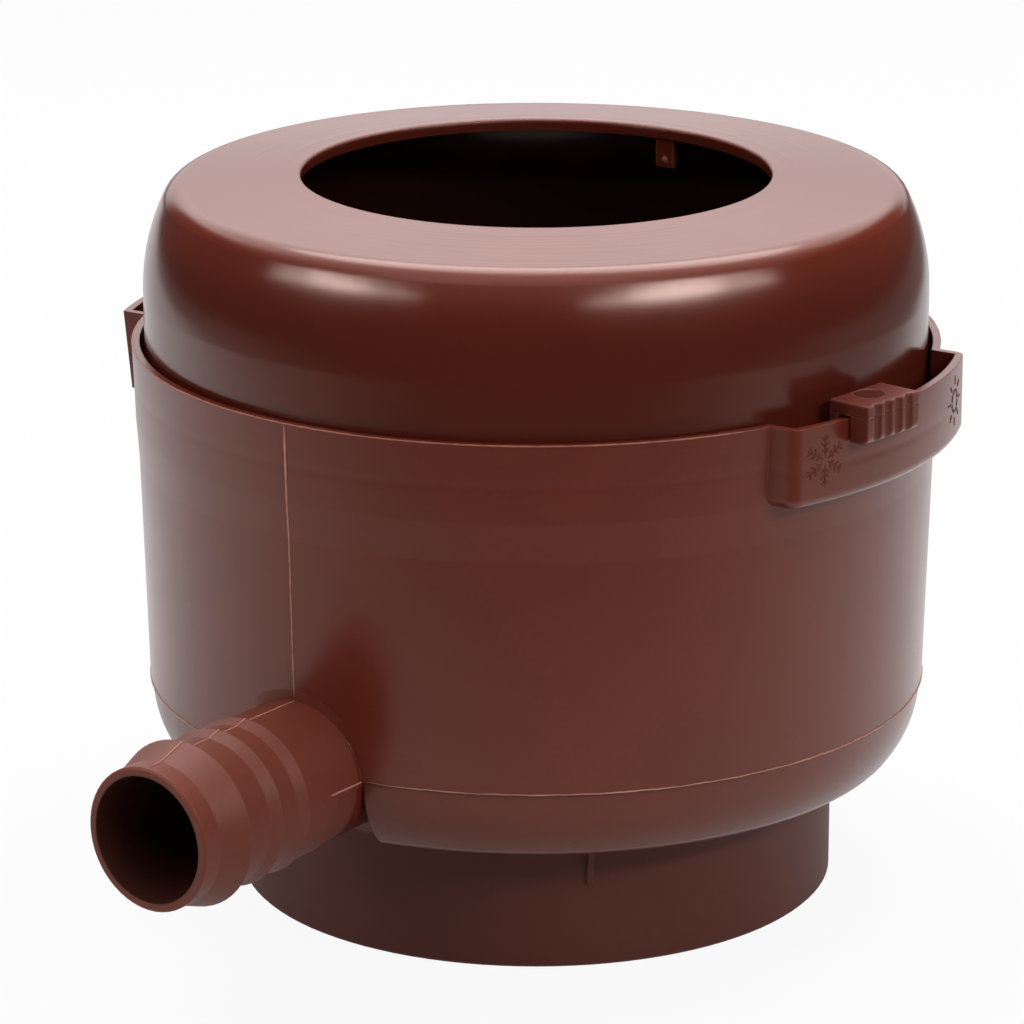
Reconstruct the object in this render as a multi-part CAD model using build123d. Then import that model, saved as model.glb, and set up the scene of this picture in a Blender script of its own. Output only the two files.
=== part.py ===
from build123d import *
from math import atan2, degrees, radians, sin
import os

os.makedirs("parts", exist_ok=True)

# All sizes are in millimetres and degrees. The origin is the middle of the foot's lower edge, +Z is up.
# Angles count from +X towards +Y, seen from above. The front of the part faces -Y.

# Housing wall
rim_height = 130.0
rim_radius = 93.7
collar_height = 112.0
collar_step_in = 0.6
flare_height = 103.0
flare_step_in = 0.6
parting_height = 49.4
parting_step_in = 1.4
housing_wall = 1.8

# Bowl under the parting line, a turn of two arcs into a flat floor
bowl_step = 0.5
bowl_straight = 1.0
bowl_turn_width = 9.6
bowl_corner_radius = 6.0
floor_height = 31.8
floor_thickness = 2.2

# Foot
foot_radius = 70.0
foot_wall = 2.2
foot_edge = 0.5

# Overflow pipe in the middle, with drain windows
pipe_radius = 47.0
pipe_wall = 2.2
pipe_height = 90.0
window_count = 5
window_angle = 30.0
window_sill = 6.0
window_tall = 26.0
window_cut_reach = 8.0
first_window_angle = -18.0

# Hose tail
tail_angle = -125.9
tail_drop = 1.2
tail_bore_radius = 14.4
tail_root_radius = 17.2
tail_tip_radius = 16.35
tail_length = 51.7
tail_tip_length = 5.2
tail_tip_edge = 0.5
crest_1_radius = 18.9
crest_1_from_tip = 12.8
waist_1_radius = 16.9
cone_2_from_tip = 21.5
crest_2_radius = 18.0
crest_2_from_tip = 24.9
waist_2_radius = 17.0
cone_3_from_tip = 30.9
crest_3_radius = 17.95
crest_3_from_tip = 34.1
recess_step = 0.6
recess_length = 7.0
recess_end_wall = 2.0
bore_run_in = 3.0

# Lever pocket in the rim and finger pocket opposite
pocket_angle = -33.0
pocket_stand_out = 5.8
pocket_half_width = 38.4
pocket_depth = 18.5
pocket_wall = 1.8
pocket_round = 3.2
pocket_under_round = 2.4
rear_half_width = 36.5
rear_stand_out = 5.7
rear_depth = 18.5
rear_lean = 1.9

# Seat ribs on the inside of the wall
seat_depth = 9.5
seat_rib_thickness = 2.0
seat_rib_reach = 6.0
seat_rib_offsets = (-51, -27, 45, 69, 93, 117, 141, 213, 237, 285)

# Small web between foot and floor
web_angle = -80.1
web_thickness = 1.5
web_tall = 12.0
web_reach = 4.0
web_foot_reach = 0.4

# Cover
cover_gap = 1.1
cover_wall = 2.4
cover_hole_radius = 54.2
cover_tall = 48.1
cover_rise = 2.1
shoulder_width = 10.0
shoulder_drop = 24.3
shoulder_corner_radius = 5.6
hole_edge_tall = 2.9
hole_edge_round = 0.6
tab_angle = 56.0
tab_count = 3
tab_width = 5.0
tab_tall = 7.0
tab_thickness = 2.0
tab_set_back = 0.7
tab_root = 0.5
nub_radius = 0.9
nub_tall = 0.5
nub_from_end = 1.6

# Sieve
sieve_wall = 1.8
sieve_clearance = 0.4
sieve_flange_width = 4.2
collar_clearance = 0.3
sieve_collar_depth = 8.0
sieve_lip_height = 6.0
slot_count = 40
slot_width = 2.4
slot_margin = 5.0

# Selector
lever_offset = -8.5
open_turn = -8.0
sleeve_clearance = 0.35
sleeve_wall = 2.0
sleeve_foot_gap = 0.4
sleeve_above_pipe = 2.0
arm_thickness = 4.0
arm_tall = 3.7
arm_web_tall = 15.0
arm_floor_gap = 1.0
arm_bend_gap = 5.0
leg_thickness = 2.2
leg_gap = 1.6
lever_width = 18.0
lever_rise = 3.5
lever_plate = 2.9
grip_gap = 0.5
grip_thickness = 4.6
grip_tall = 8.7
grip_edge = 1.8
flute_count = 4
flute_radius = 1.7
flute_depth = 0.9
flute_pitch = 3.7
dimple_radius = 3.5
dimple_depth = 0.4
dimple_from_front = 7.0

# Values that follow from the sizes above
collar_radius = rim_radius - collar_step_in
flare_radius = collar_radius - flare_step_in
parting_radius = flare_radius - parting_step_in
pocket_radius = rim_radius + pocket_stand_out
rear_radius = rim_radius + rear_stand_out
cover_radius = rim_radius - housing_wall - cover_gap
tail_reach = parting_radius + tail_length
bowl_radius = parting_radius - bowl_step
turn_centre_radius = bowl_radius - bowl_turn_width
floor_top = floor_height + floor_thickness
bore_radius = pipe_radius - pipe_wall
seat_height = rim_height - seat_depth
pocket_floor = rim_height - pocket_depth
tail_height = parting_height - tail_drop
cover_hole_height = seat_height + cover_tall
shoulder_height = cover_hole_height - cover_rise
window_low = floor_top + window_sill
lever_angle = pocket_angle + lever_offset
cavity_top = rim_height + pocket_depth


def spun(*objects):
    """Solid of revolution about Z of a closed profile drawn in radius and height."""
    outline = Plane.XZ * make_face(Curve() + list(objects))
    return revolve(outline, Axis.Z)


def chain(points, close=False):
    """Straight lines through points of (radius, height)."""
    return Polyline(*points, close=close)


def turned(part, angle):
    return Rot(0, 0, angle) * part


def box_between(x0, x1, half_y, z0, z1):
    return Pos((x0 + x1) / 2, 0, (z0 + z1) / 2) * Box(x1 - x0, 2 * half_y, z1 - z0)


def turn_arcs(corner, end, small, downward):
    """Two arcs that touch each other, from an upright tangent at end to a level tangent at corner.

    With width a, height b and small radius r, the large radius is (a*a + b*b - 2*b*r) / (2*(a - r)).
    """
    wide = end[0] - corner[0]
    tall = abs(end[1] - corner[1])
    large = (wide ** 2 + tall ** 2 - 2 * tall * small) / (2 * (wide - small))
    split = degrees(atan2(tall - small, large - wide))
    large_centre = (end[0] - large, end[1])
    if downward:
        small_centre = (corner[0], corner[1] + small)
        return [CenterArc(large_centre, large, -split, split), CenterArc(small_centre, small, -90, 90 - split)]
    small_centre = (corner[0], corner[1] - small)
    return [CenterArc(large_centre, large, 0, split), CenterArc(small_centre, small, split, 90 - split)]


def housing_form(inset_wall, inset_floor, step, top):
    """Filled form of the housing up to a height, drawn in by a wall and a floor thickness."""
    low = floor_height + inset_floor
    turn_height = parting_height - bowl_straight
    side = bowl_radius - inset_wall
    turn = turn_arcs((turn_centre_radius, low), (side, turn_height), bowl_corner_radius - inset_wall, True)
    upright = [
        (side, turn_height),
        (side, parting_height),
        (side + step, parting_height),
        (flare_radius - inset_wall, flare_height),
        (collar_radius - inset_wall, collar_height),
        (rim_radius - inset_wall, rim_height),
        (rim_radius - inset_wall, top),
        (0, top),
        (0, low),
        (turn_centre_radius, low),
    ]
    return spun(*turn, chain(upright))


below_rim = Pos(0, 0, rim_height / 2) * Cylinder(2 * rim_radius, rim_height)
outer_form = housing_form(0, 0, bowl_step, cavity_top) & below_rim
cavity = housing_form(housing_wall, floor_thickness, 0.01, cavity_top)


def ring(outer, inner, low, high):
    return spun(chain([(inner, low), (outer, low), (outer, high), (inner, high)], close=True))


def pocket_block(radius, half_width, low):
    """Slab across the rim whose outer face is round about the axis, rounded at its outer edges."""
    height = rim_height - low
    disc = Pos(0, 0, low + height / 2) * Cylinder(radius, height)
    slab = box_between(foot_radius, 2 * radius, half_width, 0, cavity_top)
    block = disc & slab
    corners = block.edges().filter_by(Axis.Z).sort_by(Axis.X)[-2:]
    block = fillet(corners, pocket_round)
    under = block.edges().group_by(Axis.Z)[0].sort_by(SortBy.DISTANCE)
    outer_under = [e for e in under if e.center().X > radius * 0.75 or abs(e.center().Y) > half_width - pocket_round]
    return fillet(outer_under, pocket_under_round)


def lever_pocket():
    return pocket_block(pocket_radius, pocket_half_width, pocket_floor)


def lever_pocket_space():
    low = pocket_floor + pocket_wall
    height = cavity_top - low
    disc = Pos(0, 0, low + height / 2) * Cylinder(pocket_radius - pocket_wall, height)
    slab = box_between(foot_radius, 2 * pocket_radius, pocket_half_width - pocket_wall, 0, 2 * cavity_top)
    return disc & slab


def rear_block(inset, half_width, top):
    """Block across the rim whose outer face leans out towards the rim."""
    low = rim_height - rear_depth + inset
    slope = rear_lean / rear_depth
    top_radius = rear_radius - inset + slope * (top - rim_height)
    low_radius = top_radius - slope * (top - low)
    cone = spun(chain([(0, low), (low_radius, low), (top_radius, top), (0, top)], close=True))
    slab = box_between(foot_radius, 2 * rear_radius, half_width, 0, 2 * top)
    return cone & slab


def along_tail(part):
    """Turn a part made along +X so that it lies along the hose tail's axis."""
    return Pos(0, 0, tail_height) * Rot(0, 0, tail_angle) * part


def rod(radius, start, end):
    return Pos((start + end) / 2, 0, 0) * Rot(0, 90, 0) * Cylinder(radius, end - start)


def tail_barrel():
    """Turned outside of the hose tail with three crests, from inside the wall to the tip."""
    tip = tail_reach
    start = parting_radius - housing_wall
    points = [
        (start, 0),
        (start, tail_root_radius),
        (tip - crest_3_from_tip, tail_root_radius),
        (tip - crest_3_from_tip, crest_3_radius),
        (tip - cone_3_from_tip, waist_2_radius),
        (tip - crest_2_from_tip, waist_2_radius),
        (tip - crest_2_from_tip, crest_2_radius),
        (tip - cone_2_from_tip, waist_1_radius),
        (tip - crest_1_from_tip, waist_1_radius),
        (tip - crest_1_from_tip, crest_1_radius),
        (tip - tail_tip_length, tail_tip_radius),
        (tip - tail_tip_edge, tail_tip_radius),
        (tip, tail_tip_radius - tail_tip_edge),
        (tip, 0),
    ]
    outline = Plane.XY * make_face(chain(points, close=True))
    return revolve(outline, Axis.X)


def make_housing():
    body = outer_form - cavity
    foot_high = floor_height + floor_thickness / 2
    body += spun(chain([
        (foot_radius - foot_wall, 0),
        (foot_radius - foot_edge, 0),
        (foot_radius, foot_edge),
        (foot_radius, foot_high),
        (foot_radius - foot_wall, foot_high),
    ], close=True))
    body += ring(pipe_radius, bore_radius, 0, pipe_height)

    # Pockets in the rim
    body += turned(lever_pocket(), pocket_angle) - cavity
    body += turned(rear_block(0, rear_half_width, rim_height), pocket_angle + 180) - cavity
    body -= turned(lever_pocket_space(), pocket_angle)
    rear_space = rear_block(pocket_wall, rear_half_width - pocket_wall, cavity_top)
    body -= turned(rear_space, pocket_angle + 180)

    # Hose tail, with a gutter in the floor that lets the lower half of the mould pull straight down
    gutter_half = tail_root_radius + housing_wall
    gutter_low = floor_height - tail_height
    gutter = box_between(foot_radius, parting_radius + housing_wall, gutter_half, gutter_low, housing_wall)
    body += along_tail(gutter) & outer_form
    body += along_tail(tail_barrel())
    recess_start = foot_radius + recess_end_wall
    recess_end = parting_radius + recess_length
    low_radius = tail_root_radius - recess_step
    barrel_low = rod(low_radius, foot_radius + recess_end_wall / 2, recess_end)
    below = -2 * tail_root_radius
    body += along_tail(barrel_low & box_between(0, tail_reach, 2 * tail_root_radius, below, 0))
    under = box_between(recess_start, recess_end, tail_root_radius + 0.01, below, 0)
    body -= along_tail(under - rod(low_radius, 0, tail_reach))
    body -= along_tail(rod(tail_bore_radius, foot_radius - bore_run_in, 2 * tail_reach))

    # Ribs that carry the cover and the sieve
    rib_inner = rim_radius - housing_wall - seat_rib_reach
    for offset in seat_rib_offsets:
        rib = box_between(rib_inner, rim_radius, seat_rib_thickness / 2, floor_height + floor_thickness / 2, seat_height)
        body += turned(rib, pocket_angle + offset) & outer_form

    # Small web between foot and floor
    web_outline = Plane.XZ * make_face(chain([
        (foot_radius - foot_wall / 2, floor_height - web_tall),
        (foot_radius + web_foot_reach, floor_height - web_tall),
        (foot_radius + web_reach, floor_height + floor_thickness / 2),
        (foot_radius - foot_wall / 2, floor_height + floor_thickness / 2),
    ], close=True))
    body += turned(extrude(web_outline, web_thickness / 2, both=True), web_angle)

    # Through passage and drain windows
    body -= Pos(0, 0, rim_height / 2) * Cylinder(bore_radius, 2 * rim_height)
    body -= windows(0)
    return body


def windows(turn):
    """Cutters for the drain windows of pipe and sleeve, turned by the selector's angle."""
    width = 2 * pipe_radius * sin(radians(window_angle / 2))
    start = bore_radius - window_cut_reach
    end = pipe_radius + window_cut_reach
    cutter = box_between(start, end, width / 2, window_low, window_low + window_tall)
    pitch = 360 / window_count
    cutters = [turned(cutter, first_window_angle + turn + pitch * k) for k in range(window_count)]
    return Compound(cutters)


def make_cover():
    """Revolved shell: gently coned top, shoulder of two arcs, upright skirt."""
    base = shoulder_height - shoulder_drop
    centre_radius = cover_radius - shoulder_width
    outside = [
        Line((cover_hole_radius, cover_hole_height), (centre_radius, shoulder_height)),
        *turn_arcs((centre_radius, shoulder_height), (cover_radius, base), shoulder_corner_radius, False),
        chain([(cover_radius, base), (cover_radius, seat_height), (cover_radius - cover_wall, seat_height),
               (cover_radius - cover_wall, base)]),
        *turn_arcs((centre_radius, shoulder_height - cover_wall), (cover_radius - cover_wall, base),
                   shoulder_corner_radius - cover_wall, False),
        chain([(centre_radius, shoulder_height - cover_wall),
               (cover_hole_radius + cover_wall, cover_hole_height - cover_wall),
               (cover_hole_radius + cover_wall, cover_hole_height - hole_edge_tall),
               (cover_hole_radius, cover_hole_height - hole_edge_tall),
               (cover_hole_radius, cover_hole_height)]),
    ]
    shell = spun(*outside)
    upper_edge = shell.edges().filter_by(GeomType.CIRCLE).group_by(Axis.Z)[-1]
    shell = fillet(upper_edge, hole_edge_round)

    # Tabs under the hole's edge that stop the downpipe
    face = cover_hole_radius + tab_set_back
    top = cover_hole_height - hole_edge_tall + tab_root
    low = cover_hole_height - hole_edge_tall - tab_tall
    tab = box_between(face, face + tab_thickness, tab_width / 2, low, top)
    nub = Pos(face, 0, low + nub_from_end) * Rot(0, -90, 0) * Cone(
        nub_radius, nub_radius / 2, nub_tall, align=(Align.CENTER, Align.CENTER, Align.MIN)
    )
    for k in range(tab_count):
        shell += turned(tab + nub, tab_angle + 360 / tab_count * k)
    return shell


def make_sieve():
    """Slotted funnel that rests on the seat ribs and dips into the overflow pipe."""
    flange_radius = cover_radius - cover_wall - sieve_clearance
    cone_radius = flange_radius - sieve_flange_width
    collar_outer = bore_radius - collar_clearance
    collar_inner = collar_outer - sieve_wall
    neck = pipe_height + sieve_lip_height
    flange_low = seat_height
    flange_high = seat_height + sieve_wall
    funnel = spun(chain([
        (flange_radius, flange_low),
        (flange_radius, flange_high),
        (cone_radius, flange_high),
        (collar_inner, neck),
        (collar_inner, pipe_height - sieve_collar_depth),
        (collar_outer, pipe_height - sieve_collar_depth),
        (collar_outer, neck - sieve_wall / 2),
        (cone_radius + sieve_wall / 2, flange_low),
    ], close=True))
    slot_in = pipe_radius + sleeve_clearance + sleeve_wall + slot_margin
    slot_out = cone_radius - slot_margin
    slot = box_between(slot_in, slot_out, slot_width / 2, pipe_height, flange_high + slot_margin)
    slots = Compound([turned(slot, 360 / slot_count * k) for k in range(slot_count)])
    return funnel - slots


def make_selector():
    """Sleeve valve round the overflow pipe, its arm, and the lever that hooks over the pocket's wall."""
    sleeve_inner = pipe_radius + sleeve_clearance
    sleeve_outer = sleeve_inner + sleeve_wall
    sleeve_low = floor_top + sleeve_foot_gap
    sleeve_high = pipe_height + sleeve_above_pipe
    sleeve = ring(sleeve_outer, sleeve_inner, sleeve_low, sleeve_high)
    sleeve -= windows(-open_turn)

    arm_low = pocket_floor + pocket_wall + arm_floor_gap
    arm_high = arm_low + arm_tall
    leg_outer = pocket_radius - pocket_wall - leg_gap
    leg_inner = leg_outer - leg_thickness
    bend = parting_radius - arm_bend_gap
    root = sleeve_inner + sleeve_wall / 2
    arm_outline = Plane.XZ * make_face(chain([
        (root, sleeve_high - arm_web_tall),
        (bend, arm_low),
        (leg_outer, arm_low),
        (leg_outer, arm_high),
        (bend, arm_high),
        (root, sleeve_high),
    ], close=True))
    arm = extrude(arm_outline, arm_thickness / 2, both=True)

    plate_top = rim_height + lever_rise
    grip_inner = pocket_radius + grip_gap
    grip_front = grip_inner + grip_thickness
    half = lever_width / 2
    leg = box_between(leg_inner, leg_outer, half, arm_low, plate_top)
    plate = box_between(leg_inner, grip_front, half, plate_top - lever_plate, plate_top)
    disc = Pos(0, 0, rim_height) * Cylinder(grip_inner, rim_height)
    grip = box_between(leg_inner, grip_front, half, plate_top - grip_tall, plate_top) - disc
    grip = fillet(grip.edges().filter_by(Axis.Y).group_by(Axis.Z)[0].sort_by(Axis.X)[-1:], grip_edge)
    lever = leg + plate + grip
    for k in range(flute_count):
        across = flute_pitch * (k - (flute_count - 1) / 2)
        flute = Pos(grip_front + flute_radius - flute_depth, across, plate_top) * Cylinder(flute_radius, 4 * grip_tall)
        lever -= flute
    dimple = Pos(grip_front - dimple_from_front, 0, plate_top) * Cylinder(dimple_radius, 2 * dimple_depth)
    lever -= dimple
    return sleeve + turned(arm + lever, lever_angle)


nodes = {
    "housing": make_housing(),
    "cover": make_cover(),
    "sieve": make_sieve(),
    "selector": make_selector(),
}

for name, part in nodes.items():
    part.label = name
    export_step(part, f"parts/{name}.step")
    print(name, len(part.solids()), "solid", round(part.volume), "mm3", part.is_valid)
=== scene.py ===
# %% [markdown]
# # A rain collector for a downpipe
#
# The real object is a moulded plastic drum that is set into a downpipe. It has a round cover with an inlet
# hole, a hose tail at the lower left, and a small lever in a pocket of the rim that is set to winter or
# summer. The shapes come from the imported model, so this lesson is about the finish: a semi-gloss brown
# plastic with the marks that its mould has left on it.

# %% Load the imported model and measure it
from math import cos, radians, sin

import bmesh
import bpy
import numpy as np
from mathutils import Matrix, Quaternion, Vector


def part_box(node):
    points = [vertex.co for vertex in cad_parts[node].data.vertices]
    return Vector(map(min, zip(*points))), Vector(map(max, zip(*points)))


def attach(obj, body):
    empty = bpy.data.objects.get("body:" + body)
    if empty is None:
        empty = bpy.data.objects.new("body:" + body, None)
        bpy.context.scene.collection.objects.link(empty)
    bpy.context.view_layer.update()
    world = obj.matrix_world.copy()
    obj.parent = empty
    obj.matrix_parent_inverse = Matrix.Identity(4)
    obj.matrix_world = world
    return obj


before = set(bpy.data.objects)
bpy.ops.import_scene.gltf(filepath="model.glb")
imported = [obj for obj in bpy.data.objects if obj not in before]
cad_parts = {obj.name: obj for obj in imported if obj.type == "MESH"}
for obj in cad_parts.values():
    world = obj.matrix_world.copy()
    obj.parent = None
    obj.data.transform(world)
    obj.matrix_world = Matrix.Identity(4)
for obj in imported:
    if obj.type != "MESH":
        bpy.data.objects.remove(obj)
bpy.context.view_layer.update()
housing_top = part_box("housing")[1][2]
cover_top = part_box("cover")[1][2]
selector_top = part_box("selector")[1][2]
scene = bpy.context.scene
print("nodes:", sorted(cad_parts))
print("rim at", round(housing_top, 4), "lever at", round(selector_top, 4), "cover at", round(cover_top, 4))

# %% [markdown]
# ## Camera
#
# A long lens far away keeps the ellipses of the rim and the foot nearly parallel, as in the photograph.
# The camera stands straight in front and looks down by about 17 degrees. The lens could also be guessed by
# eye, but the ellipses of the hole and of the foot give its angle and distance, so these are written as
# sizes. The drum's axis is a little right of the picture's middle, and a shift of the lens does that
# without turning the camera.

# %% Set the camera
CAMERA_DISTANCE = 1.1707
CAMERA_DROP = radians(17.137)
AIM_HEIGHT = 0.08638
LENS_MM = 175.26
SENSOR_MM = 36
FAR_CLIP = 20
PHOTO_WIDTH = 1024
AXIS_PIXEL = 536.2

camera_data = bpy.data.cameras.new("photo camera")
camera_data.lens = LENS_MM
camera_data.sensor_width = SENSOR_MM
camera_data.shift_x = (PHOTO_WIDTH / 2 - AXIS_PIXEL) / PHOTO_WIDTH
camera_data.clip_end = FAR_CLIP
camera = bpy.data.objects.new("photo camera", camera_data)
camera_height = AIM_HEIGHT + CAMERA_DISTANCE * sin(CAMERA_DROP)
camera.location = (0, -CAMERA_DISTANCE * cos(CAMERA_DROP), camera_height)
camera.rotation_euler = (radians(90) - CAMERA_DROP, 0, 0)
scene.collection.objects.link(camera)
scene.camera = camera
scene.view_settings.view_transform = "Standard"
print("camera at", [round(value, 3) for value in camera.location])

# %% [markdown]
# ## Node helpers
#
# A material is a graph, and a graph is read best as short formulas. Each helper makes one node, feeds it
# with numbers or with other nodes, and hands back the socket that carries the result. The same graph could
# be drawn in the shader editor, but in code every size has a name and can be changed in one place.

# %% Helpers that make one node each
def feed(tree, socket, value):
    """Link a socket to another one, or set it to a number, a vector or a colour."""
    if isinstance(value, bpy.types.NodeSocket):
        tree.links.new(value, socket)
    else:
        socket.default_value = value


def math_node(tree, operation, *values):
    """Math node whose inputs are sockets or numbers."""
    node = tree.nodes.new("ShaderNodeMath")
    node.operation = operation
    for socket, value in zip(node.inputs, values):
        feed(tree, socket, value)
    return node.outputs["Value"]


def vector_node(tree, operation, *values):
    """Vector math node; a length and a dot product give a number, the others a vector."""
    node = tree.nodes.new("ShaderNodeVectorMath")
    node.operation = operation
    sockets = (node.inputs[0], node.inputs["Scale"] if operation == "SCALE" else node.inputs[1])
    for socket, value in zip(sockets, values):
        feed(tree, socket, value)
    return node.outputs["Value" if operation in ("LENGTH", "DOT_PRODUCT") else "Vector"]


def ramp_node(tree, value, low, high, to_low=0.0, to_high=1.0):
    """Smooth step of a value from low..high to to_low..to_high."""
    node = tree.nodes.new("ShaderNodeMapRange")
    node.interpolation_type = "SMOOTHSTEP"
    feed(tree, node.inputs["Value"], value)
    for label, number in (("From Min", low), ("From Max", high), ("To Min", to_low), ("To Max", to_high)):
        feed(tree, node.inputs[label], number)
    return node.outputs["Result"]


def noise_node(tree, vector, scale, detail):
    """Noise of a scale in cycles per metre, from about 0 to 1."""
    node = tree.nodes.new("ShaderNodeTexNoise")
    feed(tree, node.inputs["Scale"], scale)
    feed(tree, node.inputs["Detail"], detail)
    feed(tree, node.inputs["Roughness"], 0.55)
    feed(tree, node.inputs["Vector"], vector)
    return node.outputs["Fac"]


def stretch_node(tree, vector, scale):
    """Vector with each of its three axes scaled."""
    node = tree.nodes.new("ShaderNodeMapping")
    feed(tree, node.inputs["Scale"], scale)
    feed(tree, node.inputs["Vector"], vector)
    return node.outputs["Vector"]


def split_node(tree, vector):
    """The outputs X, Y and Z of a vector."""
    node = tree.nodes.new("ShaderNodeSeparateXYZ")
    feed(tree, node.inputs[0], vector)
    return node.outputs


def mix_colour(tree, factor, first, second):
    """Mix of two colours; a mix node keeps its colours at inputs 6 and 7 and at output 2."""
    node = tree.nodes.new("ShaderNodeMix")
    node.data_type = "RGBA"
    for index, value in ((0, factor), (6, first), (7, second)):
        feed(tree, node.inputs[index], value)
    return node.outputs[2]


def mix_number(tree, factor, first, second):
    """Mix of two numbers."""
    node = tree.nodes.new("ShaderNodeMix")
    for label, value in (("Factor", factor), ("A", first), ("B", second)):
        feed(tree, node.inputs[label], value)
    return node.outputs["Result"]


def line_at(tree, value, where, half_width, rise):
    """Ridge at one value of a coordinate: rise * exp(-((value - where) / half_width)^2)."""
    offset = math_node(tree, "DIVIDE", math_node(tree, "SUBTRACT", value, where), half_width)
    square = math_node(tree, "MULTIPLY", offset, offset)
    bell = math_node(tree, "EXPONENT", math_node(tree, "MULTIPLY", square, -1.0))
    return math_node(tree, "MULTIPLY", bell, rise)


def object_place(tree):
    """Object coordinates in metres; every piece sits at the origin, so they are those of the part."""
    return tree.nodes.new("ShaderNodeTexCoord").outputs["Object"]


def face_normal(tree):
    """Normal of the surface, without any bump."""
    return tree.nodes.new("ShaderNodeNewGeometry").outputs["Normal"]


print("node helpers are ready in Blender", bpy.app.version_string)

# %% [markdown]
# ## Brown plastic
#
# The drum is injection moulded in one chocolate brown with a little red in it. Up close such a skin is not
# one flat colour: the melt leaves soft clouds and the mould leaves a fine grain. Thin edges are painted
# lighter and redder, a painted highlight where light would catch them. All this is needed in every plastic
# here, so it goes into one node group. The group gives a colour, a roughness and a normal, and each material
# keeps its own shader.
#
# Edges could be found from the mesh, but a bevel node works on any mesh: it gives the normal that a rounded
# edge would have, and where that differs from the face's own normal there is an edge. The gloss varies very
# little, because a larger change shows as map-like patches on the smooth wall.

# %% Parts of the moulded skin
CLOUD_SCALE = 26
CLOUD_SPAN = (0.3, 0.7)
SPECK_SCALE = 900
SPECK_SHARE = 0.5
PATCH_SCALE = 60
PATCH_SPAN = (0.25, 0.75)
PATCH_CHANGE = 0.01
GRAIN_SCALE = 1500
EDGE_RAYS = 3
EDGE_SAME = 0.99
EDGE_TURNED = 0.80
EDGE_SHARE = 0.75
RELIEF_UNIT = 0.001


def cloudy(tree, place, colour, clouds):
    """Colour * (1 + clouds * (cloud + speck)), with cloud from -1 to 1 and speck half as strong."""
    cloud = noise_node(tree, place, CLOUD_SCALE, detail=4)
    speck = noise_node(tree, place, SPECK_SCALE, detail=2)
    cloud = ramp_node(tree, cloud, *CLOUD_SPAN, -1, 1)
    speck = ramp_node(tree, speck, *CLOUD_SPAN, -SPECK_SHARE, SPECK_SHARE)
    strength = math_node(tree, "MULTIPLY_ADD", math_node(tree, "ADD", cloud, speck), clouds, 1.0)
    return vector_node(tree, "SCALE", colour, strength)


def rounded_edges(tree, radius):
    """Normal rounded at the edges, and the share of painted edge highlight at each point, from 0 to
    EDGE_SHARE.
    """
    bevel = tree.nodes.new("ShaderNodeBevel")
    bevel.samples = EDGE_RAYS
    feed(tree, bevel.inputs["Radius"], radius)
    rounded = bevel.outputs["Normal"]
    same = vector_node(tree, "DOT_PRODUCT", rounded, face_normal(tree))
    return rounded, ramp_node(tree, same, EDGE_SAME, EDGE_TURNED, 0.0, EDGE_SHARE)


def raised(tree, normal, height):
    """Normal of a surface with a height in units of RELIEF_UNIT."""
    bump = tree.nodes.new("ShaderNodeBump")
    feed(tree, bump.inputs["Distance"], RELIEF_UNIT)
    feed(tree, bump.inputs["Height"], height)
    feed(tree, bump.inputs["Normal"], normal)
    return bump.outputs["Normal"]


print("clouds of", round(1 / CLOUD_SCALE, 3), "m and grain of", round(1 / GRAIN_SCALE, 5), "m")

# %% Node group for a moulded skin
SKIN_INPUTS = {"Colour": "NodeSocketColor", "Edge": "NodeSocketColor", "Clouds": "NodeSocketFloat",
               "Gloss": "NodeSocketFloat", "Grain": "NodeSocketFloat", "Relief": "NodeSocketFloat",
               "Round": "NodeSocketFloat"}
SKIN_OUTPUTS = {"Colour": "NodeSocketColor", "Roughness": "NodeSocketFloat", "Normal": "NodeSocketVector"}


def build_moulded_skin():
    """Clouds and painted edge highlights in the colour, faint patches in the gloss, grain and relief in the
    normal.
    """
    tree = bpy.data.node_groups.new("moulded skin", "ShaderNodeTree")
    for way, sockets in (("INPUT", SKIN_INPUTS), ("OUTPUT", SKIN_OUTPUTS)):
        for label, kind in sockets.items():
            tree.interface.new_socket(label, in_out=way, socket_type=kind)
    given = tree.nodes.new("NodeGroupInput").outputs
    result = tree.nodes.new("NodeGroupOutput").inputs
    place = object_place(tree)

    rounded, edge = rounded_edges(tree, given["Round"])
    tinted = cloudy(tree, place, given["Colour"], given["Clouds"])
    # Painted highlight: edges are mixed towards the Edge colour.
    feed(tree, result["Colour"], mix_colour(tree, edge, tinted, given["Edge"]))

    patch = noise_node(tree, place, PATCH_SCALE, detail=5)
    change = ramp_node(tree, patch, *PATCH_SPAN, -PATCH_CHANGE, PATCH_CHANGE)
    feed(tree, result["Roughness"], math_node(tree, "ADD", given["Gloss"], change))

    grain = noise_node(tree, place, GRAIN_SCALE, detail=2)
    height = math_node(tree, "MULTIPLY_ADD", grain, given["Grain"], given["Relief"])
    feed(tree, result["Normal"], raised(tree, rounded, height))
    return tree


moulded_skin = build_moulded_skin()
print("group with", len(moulded_skin.nodes), "nodes")

# %% Material with a moulded skin
BROWN = (0.100, 0.0157, 0.0083, 1)
# Painted highlight colour of the edges, lighter and redder than the wall.
BROWN_EDGE_HIGHLIGHT = (0.24, 0.060, 0.036, 1)
WARM_GLOSS = (1.0, 0.76, 0.68, 1)
EDGE_ROUND = 0.0004


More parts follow.
